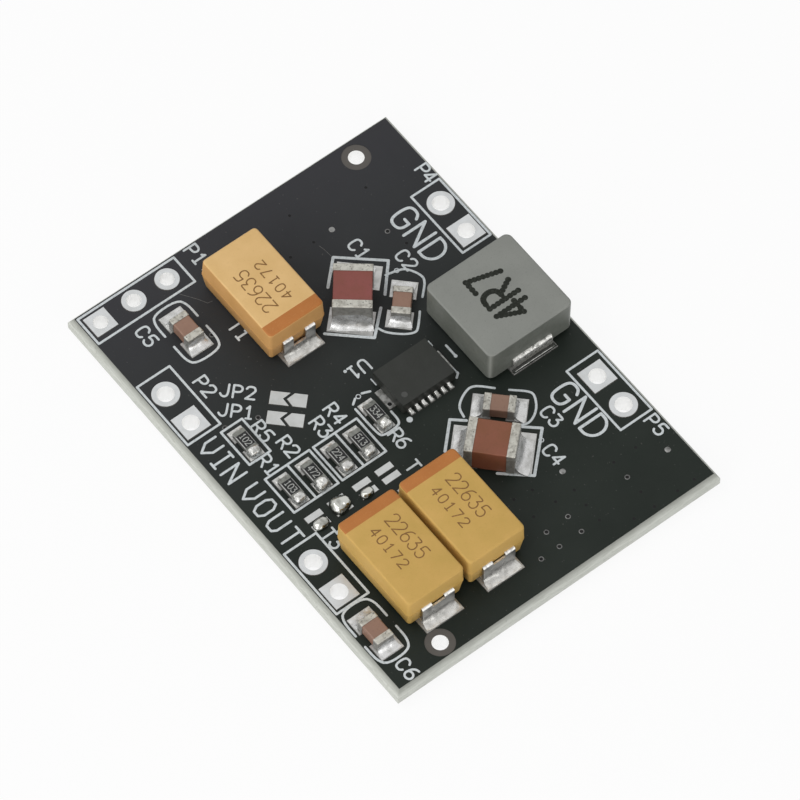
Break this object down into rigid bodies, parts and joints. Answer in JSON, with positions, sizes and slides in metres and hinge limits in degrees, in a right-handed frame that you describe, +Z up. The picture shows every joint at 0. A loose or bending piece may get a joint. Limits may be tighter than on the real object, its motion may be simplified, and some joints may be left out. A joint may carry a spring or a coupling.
{
  "type": "buck-boost converter module",
  "caption": "Small power converter board with moulded tantalum capacitors, a pressed inductor, a leadless chip, ceramic chip parts and plated terminal holes.",
  "frame": {"origin": "middle of the board's underside", "axes": "+Z up out of the side with the parts, +Y along the board's length towards the control header, +X towards the ground terminals"},
  "size_m": [0.0248, 0.033, 0.0045],
  "materials": {
    "laminate": "snapped glass-fibre edge",
    "solder_mask": "satin black film",
    "tinned_copper": "hot-air levelled tin",
    "solder": "smooth reflowed solder",
    "lead_frame": "tinned strip",
    "termination": "matte plated tin",
    "tantalum_resin": "moulded resin with a printed band",
    "pressed_iron": "matte coated iron powder",
    "chip_resin": "matte moulded resin",
    "capacitor_ceramic": "fired ceramic",
    "resistor_ceramic": "white alumina",
    "resistor_glaze": "black glaze with a printed code"
  },
  "bodies": {
    "root": {"board_laminate": "laminate", "top_solder_mask": "solder_mask", "bottom_solder_mask": "solder_mask", "input_terminal_holes": "tinned_copper", "input_ground_holes": "tinned_copper", "output_terminal_holes": "tinned_copper", "output_ground_holes": "tinned_copper", "control_header_holes": "tinned_copper", "power_lands": "tinned_copper", "capacitor_lands": "tinned_copper", "resistor_lands": "tinned_copper", "converter_lands": "tinned_copper", "jumper_lands": "tinned_copper", "tantalum_solder": "solder", "inductor_solder": "solder", "capacitor_solder": "solder", "resistor_solder": "solder", "converter_solder": "solder", "jumper_solder": "solder", "tantalum_1_case": "tantalum_resin", "tantalum_1_anode_lead": "lead_frame", "tantalum_1_cathode_lead": "lead_frame", "tantalum_2_case": "tantalum_resin", "tantalum_2_anode_lead": "lead_frame", "tantalum_2_cathode_lead": "lead_frame", "tantalum_3_case": "tantalum_resin", "tantalum_3_anode_lead": "lead_frame", "tantalum_3_cathode_lead": "lead_frame", "inductor_core": "pressed_iron", "inductor_rear_lead": "lead_frame", "inductor_front_lead": "lead_frame", "converter_case": "chip_resin", "converter_leads": "lead_frame", "converter_thermal_pad": "lead_frame", "large_cap_1_ceramic": "capacitor_ceramic", "large_cap_1_ends": "termination", "large_cap_2_ceramic": "capacitor_ceramic", "large_cap_2_ends": "termination", "small_cap_1_ceramic": "capacitor_ceramic", "small_cap_1_ends": "termination", "small_cap_2_ceramic": "capacitor_ceramic", "small_cap_2_ends": "termination", "small_cap_3_ceramic": "capacitor_ceramic", "small_cap_3_ends": "termination", "small_cap_4_ceramic": "capacitor_ceramic", "small_cap_4_ends": "termination", "resistor_1_substrate": "resistor_ceramic", "resistor_1_ends": "termination", "resistor_2_substrate": "resistor_ceramic", "resistor_2_ends": "termination", "resistor_3_substrate": "resistor_ceramic", "resistor_3_ends": "termination", "resistor_4_substrate": "resistor_ceramic", "resistor_4_ends": "termination", "resistor_5_substrate": "resistor_ceramic", "resistor_5_ends": "termination", "resistor_6_substrate": "resistor_ceramic", "resistor_6_ends": "termination", "resistor_overcoats": "resistor_glaze"}
  },
  "joints": []
}
